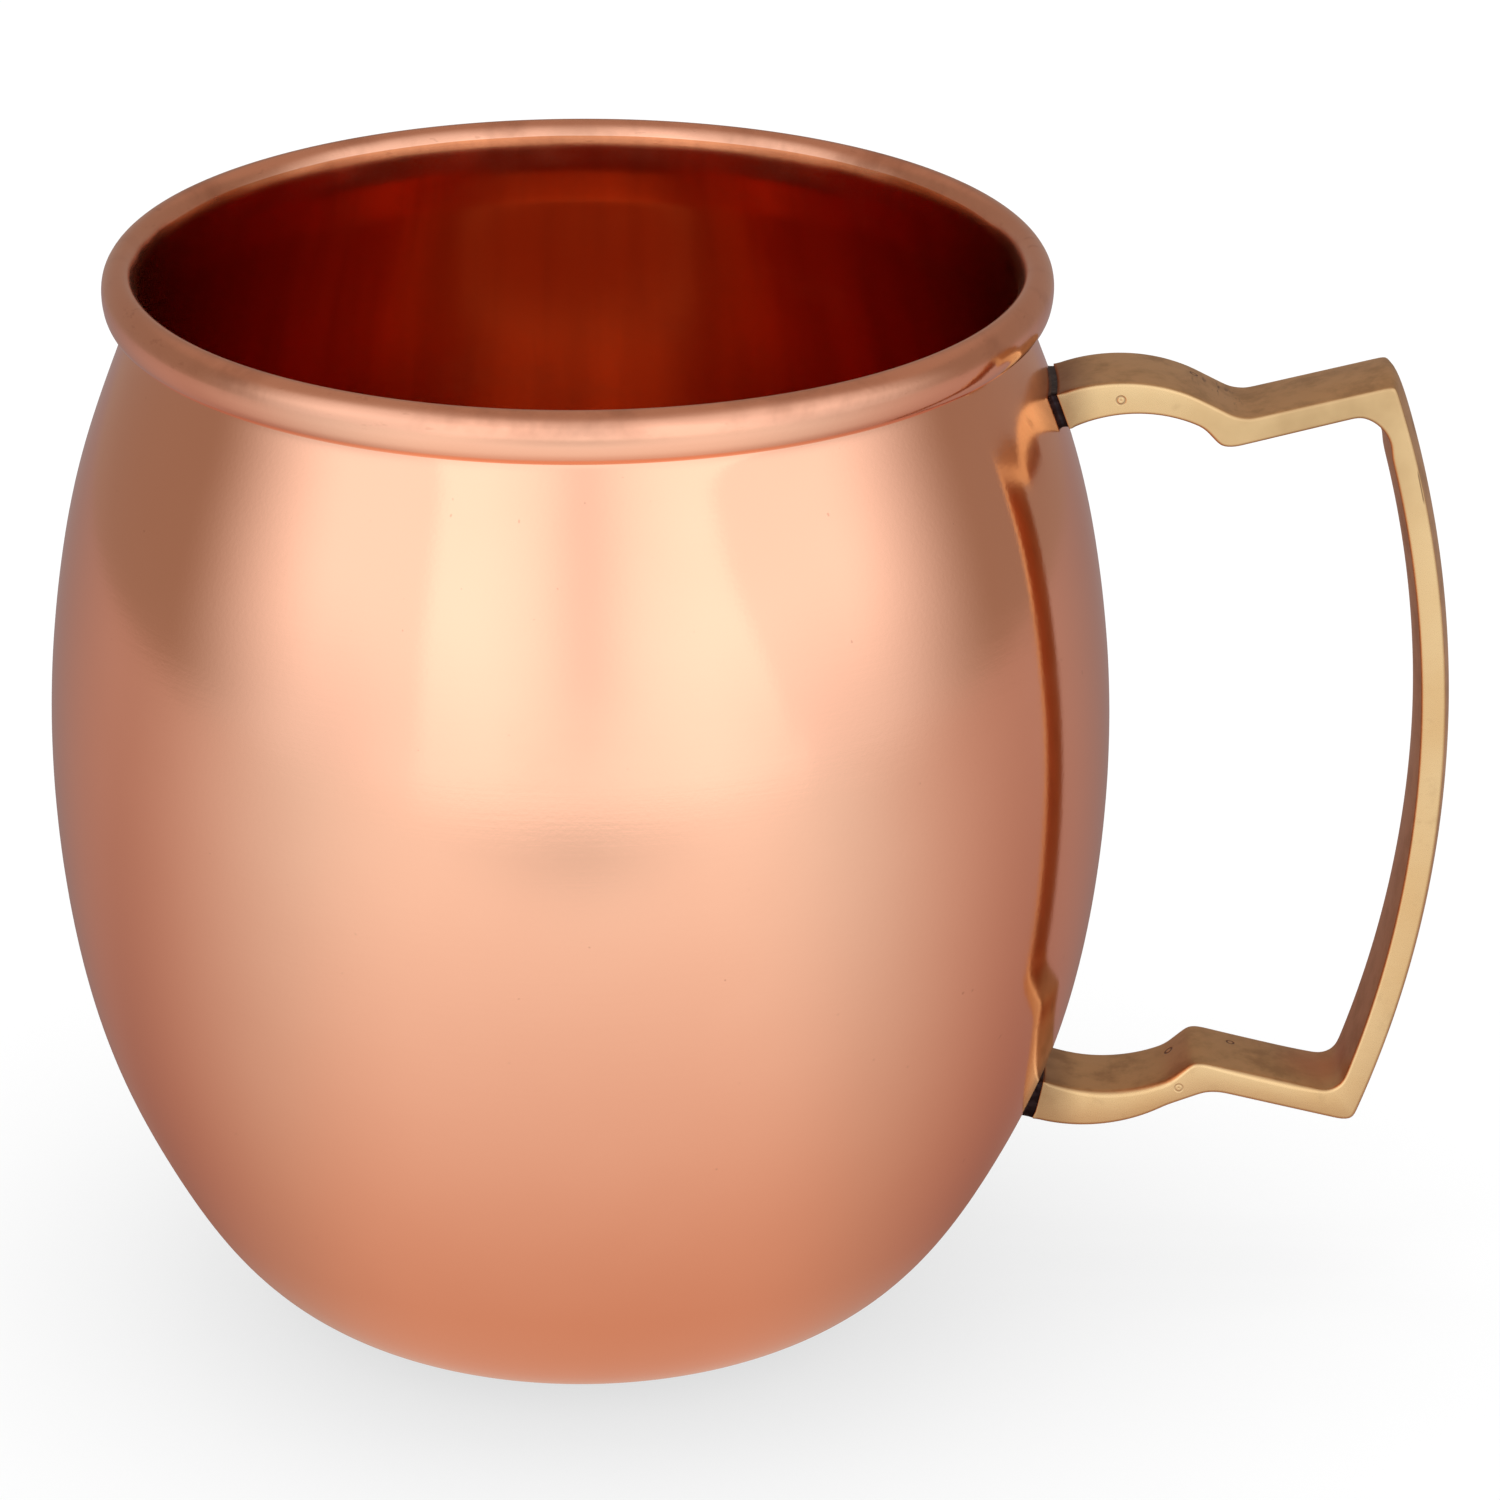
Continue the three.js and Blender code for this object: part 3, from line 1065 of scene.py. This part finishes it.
    def build(self, finishes: tuple[bpy.types.Material, bpy.types.Material]) -> bpy.types.Object:
        """Spins the profile and dresses it.

        Args:
            finishes: The outside's copper, and the inside's, which is painted darker and redder as
                shade.

        Returns:
            The body.
        """
        line, crest = self.profile()
        ring = line[1:-1]
        count = len(ring)
        angles = np.linspace(0.0, 2.0 * math.pi, self.turns, endpoint=False)
        radius = ring[None, :, 0] + self.wobble(angles, ring)
        rings = np.stack(
            [
                radius * np.cos(angles)[:, None],
                radius * np.sin(angles)[:, None],
                np.broadcast_to(ring[None, :, 1], radius.shape),
            ],
            axis=-1,
        ).reshape(-1, 3)
        ends = np.array([(0.0, 0.0, 0.0), (0.0, 0.0, self.sheet)])
        points = np.vstack([rings, ends])
        bottom, floor = len(rings), len(rings) + 1
        faces: list[tuple[int, ...]] = []
        finish: list[int] = []
        for turn in range(self.turns):
            here, there = turn * count, (turn + 1) % self.turns * count
            faces.append((bottom, here, there)[::-1])
            finish.append(0)
            for i in range(count - 1):
                faces.append((here + i, there + i, there + i + 1, here + i + 1))
                finish.append(int(i + 1 > crest + self.inside_from))
            faces.append((floor, here + count - 1, there + count - 1))
            finish.append(1)
        piece = make_piece("cup_body", points, faces, list(finishes))
        piece.data.polygons.foreach_set("material_index", finish)
        fit_piece(piece, "body")
        return piece

    def wobble(self, angles: np.ndarray, ring: np.ndarray) -> np.ndarray:
        """How far the rolled edge strays from true, as spinning by hand leaves it.

        Args:
            angles: Angles round the mug.
            ring: The profile.

        Returns:
            The change of radius for each angle and point.
        """
        chance = np.random.default_rng(7)
        stray = np.zeros_like(angles)
        for lobes in range(3, 40):
            size = 0.030 / (1.0 + 0.12 * lobes)
            stray += size * chance.normal() * np.cos(lobes * angles + chance.uniform(0.0, 6.28))
        inner = np.exp(-(((ring[:, 0] - 37.7) / 0.5) ** 2) - ((ring[:, 1] - 94.3) / 1.2) ** 2)
        return stray[:, None] * inner[None, :]


# Handle -------------------------------------------------------------------------------------------


@dataclass
class BrassHandle:
    """The casting: one closed bow whose arms end against the barrel."""

    width: float = 8.1
    middle: float = 50.0
    upper_gap: float = 0.50
    lower_gap: tuple[Station, Station] = ((17.0, 1.58), (21.6, 0.42))
    step: float = 0.3
    corner: float = 0.42
    edge: float = 0.34
    end_share: float = 0.3
    end_reach: float = 0.9
    end_near: float = 0.3
    touching: float = 0.05
    edge_steps: int = 6
    face_steps: int = 12
    hump_steps: int = 24
    grip_steps: int = 60

    def outline(self) -> np.ndarray:
        """Draws the side face's outline.

        Returns:
            Its points as (x, z), clockwise from the upper joint, not yet cut to length.
        """
        upper_arm = (38.5, 83.75)
        upper_hump = (52.8, 85.0)
        upper_corner = (69.8, 86.15)
        lower_corner = (69.0, 16.45)
        lower_hump = (52.2, 17.65)
        lower_arm = (37.5, 17.6)
        lower_inner = (38.0, 21.9)
        lower_hollow = (52.4, 20.2)
        lower_fillet = (66.00, 19.40)
        grip_low = (68.06, 20.54)
        grip_high = (69.72, 79.6)
        upper_fillet = (66.9, 83.2)
        upper_hollow = (53.6, 82.1)
        upper_inner = (39.0, 79.5)
        line = [
            upper_arm,
            *arc_through(upper_arm, (47.9, 86.25), upper_hump, self.hump_steps),
            (56.2, 83.25),
            (57.5, 83.1),
            upper_corner,
            *arc_through(upper_corner, (75.57, 51.5), lower_corner, self.grip_steps),
            (68.1, 16.35),
            (57.0, 19.0),
            (55.7, 19.0),
            lower_hump,
            *arc_through(lower_hump, (45.8, 15.7), lower_arm, self.hump_steps),
            lower_inner,
            *arc_through(lower_inner, (47.0, 19.05), lower_hollow, self.hump_steps),
            (54.5, 21.95),
            (55.3, 21.95),
            lower_fillet,
            *arc_through(lower_fillet, (67.25, 19.57), grip_low, self.hump_steps),
            *arc_through(grip_low, (73.36, 51.5), grip_high, self.grip_steps),
            *arc_through(grip_high, (68.95, 82.0), upper_fillet, self.hump_steps),
            (56.2, 80.4),
            (55.1, 80.45),
            upper_hollow,
            *arc_through(upper_hollow, (48.4, 83.4), upper_inner, self.hump_steps),
        ]
        return np.array(line)

    def gap(self, height: np.ndarray) -> np.ndarray:
        """Width of the joint's gap at a height.

        Args:
            height: The height.

        Returns:
            The gap, which is even at the upper joint and opens downwards at the lower one.
        """
        (low, wide), (high, narrow) = self.lower_gap
        opening = np.interp(height, (low, high), (wide, narrow))
        return np.where(height > self.middle, self.upper_gap, opening)

    def cut_to_barrel(self, line: np.ndarray, body: CopperBody) -> np.ndarray:
        """Cuts both arms where they meet the barrel's surface, less the gap of the joint.

        Args:
            line: The outline.
            body: The body whose barrel the arms meet.

        Returns:
            The closed outline, evenly spaced.
        """
        closed = respaced(np.vstack([line, line[:1]]), 0.05)[:-1]
        keep = self.clearance(closed, body) > 0.0
        first = int(np.flatnonzero(keep & ~np.roll(keep, 1))[0])
        closed = np.roll(closed, -first, axis=0)
        keep = np.roll(keep, -first)
        line = closed[keep]
        jumps = np.flatnonzero(np.hypot(*(np.roll(line, -1, axis=0) - line).T) > 0.5)
        pieces: list[np.ndarray] = []
        start = 0
        for jump in jumps:
            pieces.append(line[start : jump + 1])
            after = line[(jump + 1) % len(line)]
            heights = np.linspace(line[jump][1], after[1], 30)[1:-1]
            pieces.append(
                np.column_stack([body.radius_at(heights) + self.gap(heights), heights])
            )
            start = jump + 1
        pieces.append(line[start:])
        whole = np.vstack(pieces)
        return respaced(np.vstack([whole, whole[:1]]), self.step)[:-1]

    def ends(self, body: CopperBody) -> tuple[Station, Station]:
        """Heights between which each arm's end stands.

        Args:
            body: The body whose barrel the arms meet.

        Returns:
            Lowest and highest point of the upper arm's end, and of the lower arm's.
        """
        line = self.cut_to_barrel(self.outline(), body)
        heights = line[self.clearance(line, body) < self.touching, 1]
        upper = heights[heights > self.middle]
        lower = heights[heights < self.middle]
        return (float(upper.min()), float(upper.max())), (float(lower.min()), float(lower.max()))

    def normals(self, line: np.ndarray) -> np.ndarray:
        """Finds which way is outwards along a clockwise outline.

        Args:
            line: The outline.

        Returns:
            The outward direction at each point.
        """
        along = np.roll(line, -1, axis=0) - np.roll(line, 1, axis=0)
        along /= np.hypot(along[:, 0], along[:, 1])[:, None]
        return np.column_stack([-along[:, 1], along[:, 0]])

    def crown(self, line: np.ndarray, out: np.ndarray) -> np.ndarray:
        """How far each face bulges at the middle of its width.

        Args:
            line: The outline.
            out: Its outward directions.

        Returns:
            The bulge at each point.
        """
        x, z = line.T
        outer = np.clip(out[:, 0], 0.0, 1.0) * (x > 60.0)
        inner = np.clip(-out[:, 0], 0.0, 1.0) * (x > 62.0)
        top = np.clip((z - 20.0) / 60.0, 0.0, 1.0)
        arm = np.clip(np.abs(out[:, 1]), 0.0, 1.0)
        joint = np.clip((x - 43.0) / 4.0, 0.0, 1.0)
        return (0.55 * outer + 0.42 * inner * top + 0.12 * arm * (1.0 - outer)) * joint

    def edges(self, line: np.ndarray, out: np.ndarray) -> np.ndarray:
        """Radius of the rounded edges beside each point.

        Args:
            line: The outline.
            out: Its outward directions.

        Returns:
            The radius at each point.
        """
        x, z = line.T
        lower_top = np.exp(-(((z - 19.6) / 2.2) ** 2)) * np.clip(out[:, 1], 0.0, 1.0)
        lower_top *= np.clip((x - 43.0) / 2.0, 0.0, 1.0) * np.clip((66.0 - x) / 2.0, 0.0, 1.0)
        lower_top *= np.clip(np.abs(x - 54.9) / 1.2 - 0.6, 0.0, 1.0)
        return self.edge + 0.30 * lower_top

    def build(self, finish: bpy.types.Material, body: CopperBody) -> bpy.types.Object:
        """Lays the skin round the outline and dresses it.

        Args:
            finish: The brass.
            body: The body whose barrel the arms meet.

        Returns:
            The handle.
        """
        line = self.cut_to_barrel(self.outline(), body)
        blurred = softened(line, self.step, self.corner, True)
        near_joint = np.clip((line[:, 0] - body.radius_at(line[:, 1]) - 2.0) / 2.0, 0.0, 1.0)
        line = line + (blurred - line) * near_joint[:, None]
        out = self.normals(softened(line, self.step, 0.3, True))
        crown = self.crown(line, out)
        crown = softened(np.column_stack([crown, crown]), self.step, 1.2, True)[:, 0]
        edge = self.edges(line, out)
        edge = softened(np.column_stack([edge, edge]), self.step, 1.2, True)[:, 0]
        shrunk = self.end_share + self.clearance(line, body) / self.end_reach
        edge *= np.clip(shrunk, self.end_share, 1.0)
        rows = self.section(crown, edge)
        layers = [
            np.column_stack([line[:, 0] - out[:, 0] * inset, y, line[:, 1] - out[:, 1] * inset])
            for y, inset in rows
        ]
        points = np.vstack(layers)
        bend = np.clip(1.0 - (points[:, 0] - 42.0) / 8.0, 0.0, 1.0)
        points[:, 0] -= bend * points[:, 1] ** 2 / (2.0 * 42.0)
        count = len(line)
        side = self.side_face(layers[0][:, [0, 2]], body)
        faces: list[tuple[int, ...]] = [(c, b, a) for a, b, c in side]
        for row in range(len(layers) - 1):
            for i in range(count):
                a, b = row * count + i, row * count + (i + 1) % count
                faces.append((a, b, b + count, a + count))
        last = (len(layers) - 1) * count
        faces.extend((last + a, last + b, last + c) for a, b, c in side)
        piece = make_piece("handle_casting", points, faces, [finish])
        fit_piece(piece, "handle")
        return piece

    def clearance(self, line: np.ndarray, body: CopperBody) -> np.ndarray:
        """How far each point of a line stands outside the joints' gaps."""
        return line[:, 0] - body.radius_at(line[:, 1]) - self.gap(line[:, 1])

    def side_face(self, line: np.ndarray, body: CopperBody) -> list[tuple[int, int, int]]:
        """Lays a flat side face in triangles that run from the bow's outer side to its inner side.

        Args:
            line: The side face's edge.
            body: The body whose barrel the arms meet.

        Returns:
            The triangles, each as three places in the line.
        """
        count = len(line)
        ends = np.flatnonzero(self.clearance(line, body) < self.end_near)
        start = int(ends[np.argmax(line[ends, 1])])
        finish = int(ends[np.argmin(line[ends, 1])])
        outer = [(start + k) % count for k in range((finish - start) % count + 1)]
        inner = [(start - k) % count for k in range((start - finish) % count + 1)]
        faces = [(start, outer[1], inner[1])]
        i, j = 1, 1
        while i < len(outer) - 2 or j < len(inner) - 2:
            out_reach = np.hypot(*(line[outer[min(i + 1, len(outer) - 2)]] - line[inner[j]]))
            in_reach = np.hypot(*(line[outer[i]] - line[inner[min(j + 1, len(inner) - 2)]]))
            if j == len(inner) - 2 or (i < len(outer) - 2 and out_reach < in_reach):
                faces.append((outer[i], outer[i + 1], inner[j]))
                i += 1
            else:
                faces.append((outer[i], inner[j + 1], inner[j]))
                j += 1
        faces.append((outer[i], finish, inner[j]))
        return faces

    def section(self, crown: np.ndarray, edge: np.ndarray) -> list[tuple[np.ndarray, np.ndarray]]:
        """Rows across the strap: its rounded edges and the crowned face between them.

        Args:
            crown: The bulge at each point of the outline.
            edge: The edge's radius at each point.

        Returns:
            For each row, how far across it lies and how far inside the outline.
        """
        half = self.width / 2.0
        rows: list[tuple[np.ndarray, np.ndarray]] = []
        for angle in np.linspace(0.0, math.pi / 2.0, self.edge_steps + 1):
            across = -half + edge * (1.0 - math.cos(angle))
            rows.append((across, edge * (1.0 - math.sin(angle))))
        for share in np.linspace(-1.0, 1.0, self.face_steps + 1)[1:-1]:
            rows.append((share * (half - edge), -crown * (1.0 - share * share)))
        mirrored = [(-across, inset) for across, inset in rows[self.edge_steps :: -1]]
        return rows + mirrored


# Brazed joints ------------------------------------------------------------------------------------


@dataclass
class BrazedJoint:
    """The filler of one joint, from the barrel's surface to the arm's end."""

    name: str
    node: str
    low: float
    high: float
    width: float = 7.9
    corner: float = 0.30
    hollow: float = 0.06
    slant: float = 0.0
    bite: float = 0.10
    round_steps: int = 96
    deep_steps: int = 8

    def ring(self) -> np.ndarray:
        """Draws the rounded rectangle of the filler's section.

        Returns:
            Its points, as (across, height).
        """
        half, tall = self.width / 2.0, (self.high - self.low) / 2.0
        corners = [(-half, -tall), (half, -tall), (half, tall), (-half, tall), (-half, -tall)]
        line = respaced(np.array(corners), 0.2)[:-1]
        line = softened(line, 0.2, self.corner, True)
        line = respaced(np.vstack([line, line[:1]]), travelled(line)[-1] / self.round_steps)[:-1]
        return line + (0.0, (self.low + self.high) / 2.0)

    def build(
        self, finish: bpy.types.Material, body: CopperBody, handle: BrassHandle
    ) -> bpy.types.Object:
        """Fills the gap with a skin that is drawn in between the two metals.

        Args:
            finish: The filler's finish.
            body: The body that the filler wets.
            handle: The handle whose arm it holds.

        Returns:
            The filler.
        """
        ring = self.ring()
        middle = np.array([0.0, (self.low + self.high) / 2.0])
        layers: list[np.ndarray] = []
        for share in np.linspace(0.0, 1.0, self.deep_steps + 1):
            draw = 1.0 - self.hollow * 4.0 * share * (1.0 - share) / (self.high - self.low)
            flat = middle + (ring - middle) * draw
            sag = self.slant * share * (self.high - flat[:, 1]) / (self.high - self.low)
            height = flat[:, 1] - sag
            deep = handle.gap(height) + 2.0 * self.bite
            reach = body.radius_at(height) - self.bite + share * deep
            level = np.sqrt(reach**2 - flat[:, 0] ** 2)
            layers.append(np.column_stack([level, flat[:, 0], height]))
        points = np.vstack(layers)
        count = len(ring)
        faces: list[tuple[int, ...]] = [tuple(range(count - 1, -1, -1))]
        for row in range(len(layers) - 1):
            for i in range(count):
                a, b = row * count + i, row * count + (i + 1) % count
                faces.append((a, b, b + count, a + count))
        last = (len(layers) - 1) * count
        faces.append(tuple(range(last, last + count)))
        piece = make_piece(self.name, points, faces, [finish])
        fit_piece(piece, self.node)
        return piece


# Studio -------------------------------------------------------------------------------------------


@dataclass
class Studio:
    """Pale table, soft light and the camera."""

    lens: float = 150.3
    sensor: float = 36.0
    distance: float = 554.0
    bearing: float = 0.33
    tilt: float = 22.96
    roll: float = 0.22
    aim: tuple[float, float, float] = (0.07, 1.80, 1.55)
    middle: Vector = field(default_factory=Vector)
    table_size: float = 6000.0
    table_drop: float = 0.05
    tent_radius: float = 2500.0
    glow_half: float = 490.0
    room_light: float = 0.92
    lamp_size: float = 900.0
    lamp_height: float = 1300.0
    lamp_radiance: float = 1.3
    glow: StudioGlow = StudioGlow()

    def build(self) -> None:
        """Sets out the table, the lights and the camera."""
        self.lay_table()
        self.hang_tent()
        self.hang_lamp()
        self.fill_room()
        self.set_camera()
        self.set_colour()
        LOG.info("studio: table, light tent, one lamp and the camera")

    def square(self, name: str, half: float, finish: bpy.types.Material) -> bpy.types.Object:
        """Makes a flat square at the table's height.

        Args:
            name: Its name.
            half: Half its side.
            finish: Its material.

        Returns:
            The square.
        """
        signs = ((-1, -1), (1, -1), (1, 1), (-1, 1))
        corners = np.array([(half * x, half * y, 0.0) for x, y in signs])
        square = make_piece(name, corners, [(0, 1, 2, 3)], [finish])
        square.location.z = -self.table_drop * MM
        square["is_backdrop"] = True
        return square

    def mirror_only(self, thing: bpy.types.Object) -> None:
        """Leaves a thing to be seen in the metal's reflections and nowhere else.

        Args:
            thing: The thing.
        """
        thing.visible_camera = False
        thing.visible_diffuse = False
        thing.visible_transmission = False
        thing.visible_shadow = False

    def lay_table(self) -> None:
        """Lays the table top under the mug, and the lit part of it that the metal mirrors."""
        table = self.square("table", self.table_size / 2.0, PaleTable().material())
        table.visible_glossy = False
        self.mirror_only(self.square("table_glow", self.glow_half, self.glow.table()))

    def hang_tent(self) -> None:
        """Hangs a light tent round the mug."""
        turns, rises = 48, 24
        points = [
            (
                self.tent_radius * math.cos(rise) * math.cos(turn),
                self.tent_radius * math.cos(rise) * math.sin(turn),
                self.tent_radius * math.sin(rise),
            )
            for rise in np.linspace(-math.pi / 2.0, math.pi / 2.0, rises + 1)
            for turn in np.linspace(0.0, 2.0 * math.pi, turns, endpoint=False)
        ]
        faces = [
            (
                row * turns + i,
                row * turns + (i + 1) % turns,
                (row + 1) * turns + (i + 1) % turns,
                (row + 1) * turns + i,
            )
            for row in range(rises)
            for i in range(turns)
        ]
        tent = make_piece("light_tent", np.array(points), faces, [self.glow.tent()])
        tent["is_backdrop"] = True
        self.mirror_only(tent)

    def hang_lamp(self) -> None:
        """Hangs a wide lamp over the table, for the soft shadow under the mug."""
        light = bpy.data.lights.new("overhead", "AREA")
        light.size = self.lamp_size * MM
        light.energy = self.lamp_radiance * math.pi * light.size**2
        lamp = bpy.data.objects.new("overhead", light)
        lamp.location = (0.0, 0.0, self.lamp_height * MM)
        lamp.visible_glossy = False
        bpy.context.scene.collection.objects.link(lamp)

    def fill_room(self) -> None:
        """Gives the room an even white light."""
        world = bpy.data.worlds.new("room")
        world.use_nodes = True
        background = world.node_tree.nodes["Background"]
        background.inputs["Color"].default_value = (1.0, 1.0, 1.0, 1.0)
        background.inputs["Strength"].default_value = self.room_light
        world.cycles_visibility.glossy = False
        bpy.context.scene.world = world

    def set_camera(self) -> None:
        """Stands the camera in front of the mug, looking down at it."""
        data = bpy.data.cameras.new("camera")
        data.lens = self.lens
        data.sensor_width = self.sensor
        camera = bpy.data.objects.new("camera", data)
        turn = math.radians(self.bearing)
        rise = math.radians(self.tilt)
        level = math.cos(rise)
        back = Vector((math.sin(turn) * level, -math.cos(turn) * level, math.sin(rise)))
        right = Vector((0.0, 0.0, 1.0)).cross(back).normalized()
        up = back.cross(right)
        lean = math.radians(self.roll)
        side = right * math.cos(lean) + up * math.sin(lean)
        top = up * math.cos(lean) - right * math.sin(lean)
        place = self.middle + (Vector(self.aim) + back * self.distance) * MM
        turned = Matrix((side, top, back)).transposed().to_4x4()
        camera.matrix_world = Matrix.Translation(place) @ turned
        bpy.context.scene.collection.objects.link(camera)
        bpy.context.scene.camera = camera

    def set_colour(self) -> None:
        """Keeps the picture's colours as they are lit, and lets light bounce often in the cup."""
        scene = bpy.context.scene
        scene.view_settings.view_transform = "Standard"
        scene.cycles.max_bounces = 16
        scene.cycles.glossy_bounces = 16
        scene.cycles.diffuse_bounces = 4
        scene.cycles.caustics_reflective = False


# Assembly -----------------------------------------------------------------------------------------


def main() -> None:
    """Builds the mug piece by piece, then the studio around it."""
    logging.basicConfig(level=logging.INFO, format="%(name)s: %(message)s")
    low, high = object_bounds()
    copper_outside = SpunCopper()
    # Painted shade: the inside's copper is a darker, redder copy of the outside's, so that the
    # cup's interior comes out dark red; it also has darker streaks up and down the wall.
    copper_inside_painted_shade = SpunCopper(
        name="copper_inside_painted_shade",
        colour=(0.760, 0.283, 0.126),
        bloom=(0.736, 0.268, 0.116),
        stain=(0.60, 0.20, 0.085),
        drawn=0.45,
        roughness=0.15,
        brushed=0.82,
    )
    body = CopperBody()
    body.build((copper_outside.material(), copper_inside_painted_shade.material()))
    handle = BrassHandle()
    handle.build(CastBrass().material(), body)
    filler = BrazeSkin().material()
    upper, lower = handle.ends(body)
    BrazedJoint("upper_filler", "upper_braze", *upper).build(filler, body, handle)
    lower_joint = BrazedJoint("lower_filler", "lower_braze", *lower, slant=0.30)
    lower_joint.build(filler, body, handle)
    Studio(middle=(low + high) / 2.0).build()


if __name__ == "__main__":
    main()
